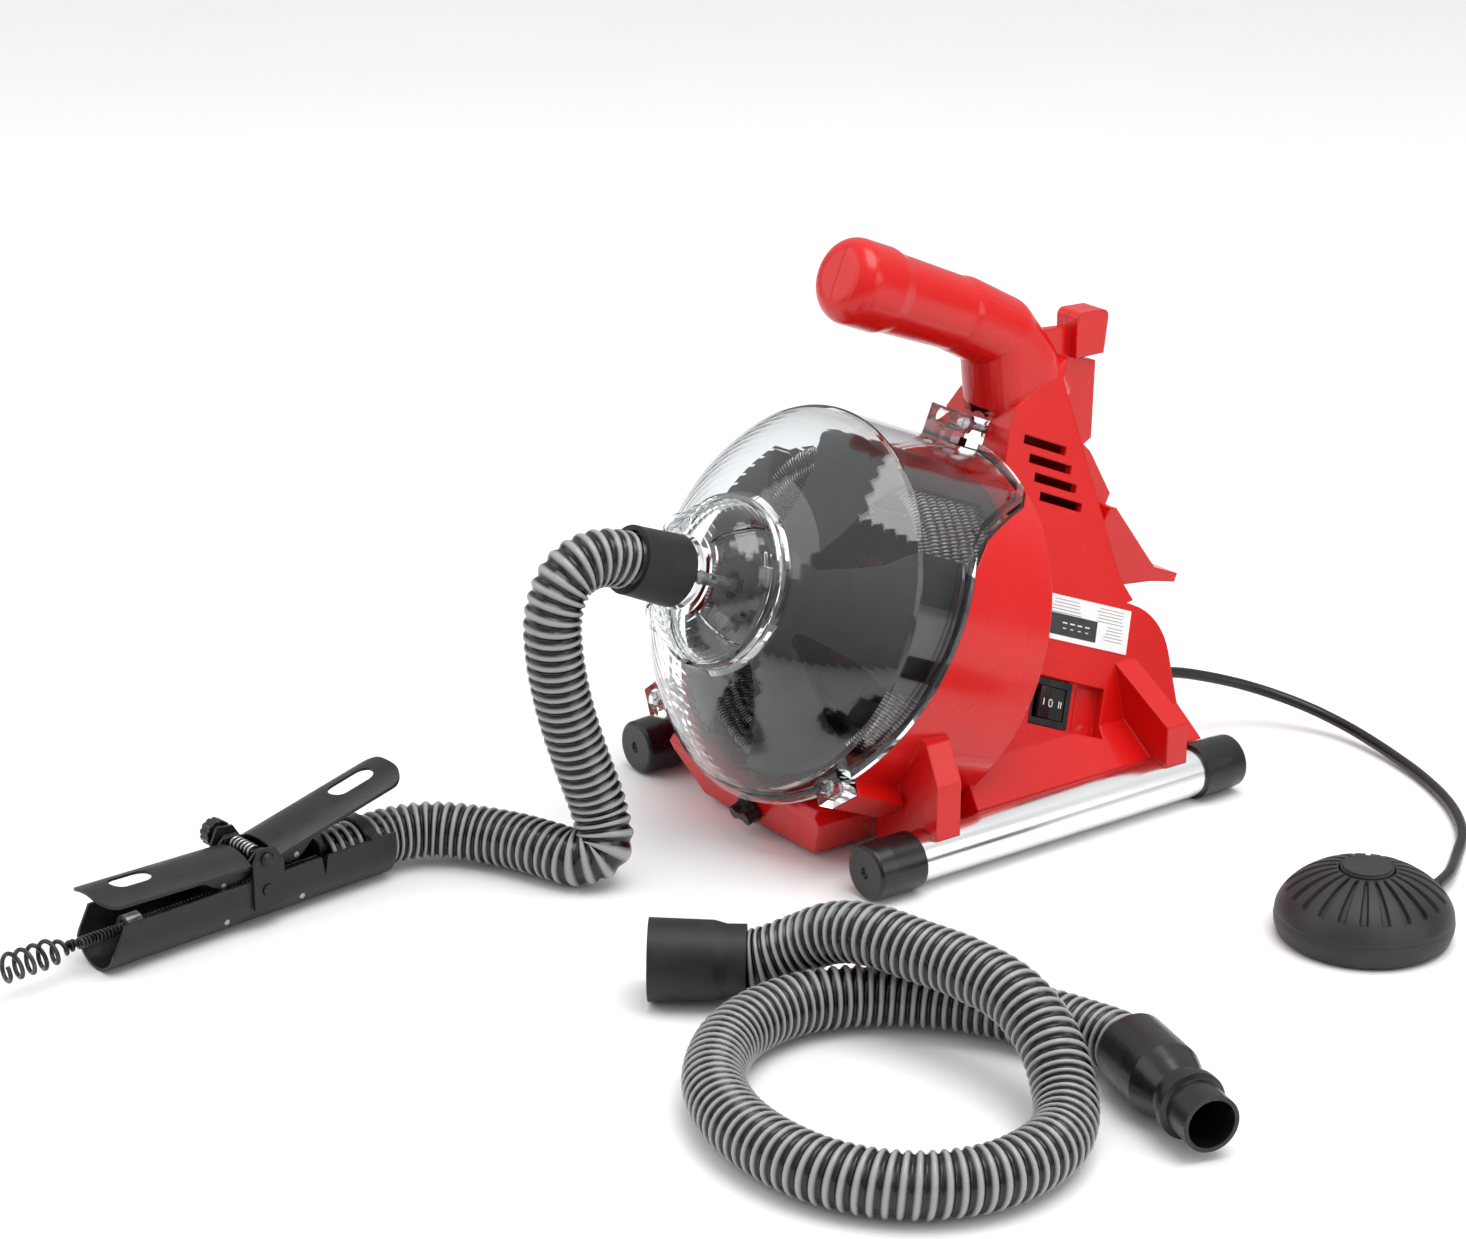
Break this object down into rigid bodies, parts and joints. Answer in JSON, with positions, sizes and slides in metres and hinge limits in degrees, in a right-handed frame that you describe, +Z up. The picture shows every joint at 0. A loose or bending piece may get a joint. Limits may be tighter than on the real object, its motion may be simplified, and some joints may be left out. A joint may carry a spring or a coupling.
{
  "type": "drain snake machine",
  "caption": "Powered drum drain snake on two foot tubes: clear drum cover, guide hose to a squeeze-lever feed tool, air foot pedal and a spare hose.",
  "frame": {"origin": "on the floor, in the middle of the object's box in X and Y, measured without the free hoses", "axes": "+Z up, the nose and the feed tool point towards -Y, the power switch is on the +X side"},
  "size_m": [0.5022, 0.7272, 0.3008],
  "materials": {
    "housing": "satin moulded red",
    "screws": "zinc plated",
    "tubes": "bright drawn",
    "caps": "matte",
    "clear_cover": "clear, glossy",
    "gasket": "matte",
    "cuffs": "moulded",
    "drum": "moulded satin",
    "shaft": "ground",
    "pulley": "turned",
    "cable": "oiled wire",
    "belt": "matte",
    "motor": "painted",
    "magnet": "ferrite",
    "fan": "moulded",
    "switches": "moulded",
    "label": "printed",
    "hose": "corrugated",
    "tool_black": "black coated",
    "levers": "black coated",
    "spring": "bright",
    "rollers": "turned",
    "auger": "dark wire",
    "pedal": "moulded",
    "pedal_top": "moulded",
    "air_hose": "smooth"
  },
  "bodies": {
    "machine": {"housing_left": "housing", "housing_right": "housing", "housing_screws": "screws", "foot_tube_left": "tubes", "foot_tube_right": "tubes", "foot_cap_front_left": "caps", "foot_cap_front_right": "caps", "foot_cap_rear_left": "caps", "foot_cap_rear_right": "caps", "drum_cover": "clear_cover", "cover_gasket": "gasket", "cover_screws": "screws", "nose_cap": "clear_cover", "hose_cuff": "cuffs", "bearing_front": "shaft", "bearing_rear": "shaft", "drive_belt": "belt", "motor_can": "motor", "motor_magnets": "magnet", "air_switch": "switches", "power_switch_frame": "switches", "cord_gland": "switches", "rating_label": "label", "guide_hose": "hose", "feed_channel": "tool_black", "feed_bracket": "tool_black", "feed_rivets": "screws", "feed_spring": "spring", "hose_clip": "spring", "cable_guide": "spring", "pedal_base": "pedal", "pedal_nipple": "pedal", "air_hose": "air_hose"},
    "drum": {"drum_shell": "drum", "drum_back": "drum", "drum_shaft": "shaft", "drum_pulley": "pulley", "cable_coil": "cable", "cable_lead": "cable"},
    "motor_shaft": {"motor_rotor": "shaft", "motor_fan": "fan", "motor_pulley": "pulley"},
    "rocker": {"power_switch_rocker": "switches"},
    "drain_plug": {"drain_plug": "switches"},
    "front_lever": {"feed_lever_front": "levers"},
    "rear_lever": {"feed_lever_rear": "levers"},
    "front_roller": {"feed_roller_front": "rollers"},
    "rear_roller": {"feed_roller_rear": "rollers"},
    "front_bed_roller": {"bed_roller_front": "rollers"},
    "rear_bed_roller": {"bed_roller_rear": "rollers"},
    "tool_knob": {"feed_knob": "switches"},
    "cable_end": {"cable_tail": "cable"},
    "auger": {"auger_tip": "auger"},
    "pedal_button": {"pedal_dome": "pedal", "pedal_top": "pedal_top"},
    "spare_set": {"spare_hose": "hose", "spare_cuff": "cuffs", "spare_adapter": "cuffs"}
  },
  "joints": [
    {"name": "drum_spin", "type": "hinge", "parent": "machine", "child": "drum", "pos_m": [-0.099, 0.082, 0.1235], "axis": [0, -0.9205, 0.3907], "continuous": true},
    {"name": "motor_spin", "type": "hinge", "parent": "machine", "child": "motor_shaft", "pos_m": [-0.099, 0.10349, 0.17413], "axis": [0, -0.9205, 0.3907], "continuous": true},
    {"name": "switch_rock", "type": "hinge", "parent": "machine", "child": "rocker", "pos_m": [-0.03786, 0.205, 0.05741], "axis": [0.2726, -0.3907, -0.8792], "range_deg": [0, 16]},
    {"name": "drain_plug_pull", "type": "slide", "parent": "machine", "child": "drain_plug", "axis": [0, -0.9336, -0.3584], "range_m": [0, 0.008]},
    {"name": "front_lever_squeeze", "type": "hinge", "parent": "machine", "child": "front_lever", "pos_m": [-0.16197, -0.19203, 0.036], "axis": [0.9932, 0.1167, 0], "range_deg": [0, 5], "stiffness_Nm_per_rad": 0.8},
    {"name": "rear_lever_squeeze", "type": "hinge", "parent": "machine", "child": "rear_lever", "pos_m": [-0.16197, -0.19203, 0.036], "axis": [-0.9932, -0.1167, 0], "range_deg": [0, 11], "stiffness_Nm_per_rad": 0.8},
    {"name": "front_roller_spin", "type": "hinge", "parent": "front_lever", "child": "front_roller", "pos_m": [-0.1594, -0.21388, 0.027], "axis": [0.9932, 0.1167, 0], "continuous": true},
    {"name": "rear_roller_spin", "type": "hinge", "parent": "rear_lever", "child": "rear_roller", "pos_m": [-0.16453, -0.17018, 0.0295], "axis": [0.9932, 0.1167, 0], "continuous": true},
    {"name": "front_bed_roller_spin", "type": "hinge", "parent": "machine", "child": "front_bed_roller", "pos_m": [-0.1594, -0.21388, 0.00885], "axis": [0.9932, 0.1167, 0], "continuous": true},
    {"name": "rear_bed_roller_spin", "type": "hinge", "parent": "machine", "child": "rear_bed_roller", "pos_m": [-0.16453, -0.17018, 0.00885], "axis": [0.9932, 0.1167, 0], "continuous": true},
    {"name": "tool_knob_turn", "type": "hinge", "parent": "machine", "child": "tool_knob", "pos_m": [-0.16197, -0.19203, 0.036], "axis": [0.9932, 0.1167, 0], "continuous": true},
    {"name": "cable_feed", "type": "slide", "parent": "machine", "child": "cable_end", "axis": [0.1167, -0.9932, 0], "range_m": [0, 0.06]},
    {"name": "auger_spin", "type": "hinge", "parent": "cable_end", "child": "auger", "pos_m": [-0.15042, -0.29035, 0.0165], "axis": [0.1167, -0.9932, 0], "continuous": true},
    {"name": "pedal_press", "type": "slide", "parent": "machine", "child": "pedal_button", "axis": [0, 0, -1], "range_m": [0, 0.008], "stiffness_N_per_m": 1500, "deforming": ["pedal_dome"]},
    {"name": "spare_hose_lift", "type": "slide", "parent": "machine", "child": "spare_set", "axis": [0, 0, 1], "range_m": [0, 0.1]}
  ],
  "couplings": [
    {"joint": "motor_spin", "follows": "drum_spin", "ratio": 4},
    {"joint": "auger_spin", "follows": "drum_spin", "ratio": 1}
  ]
}
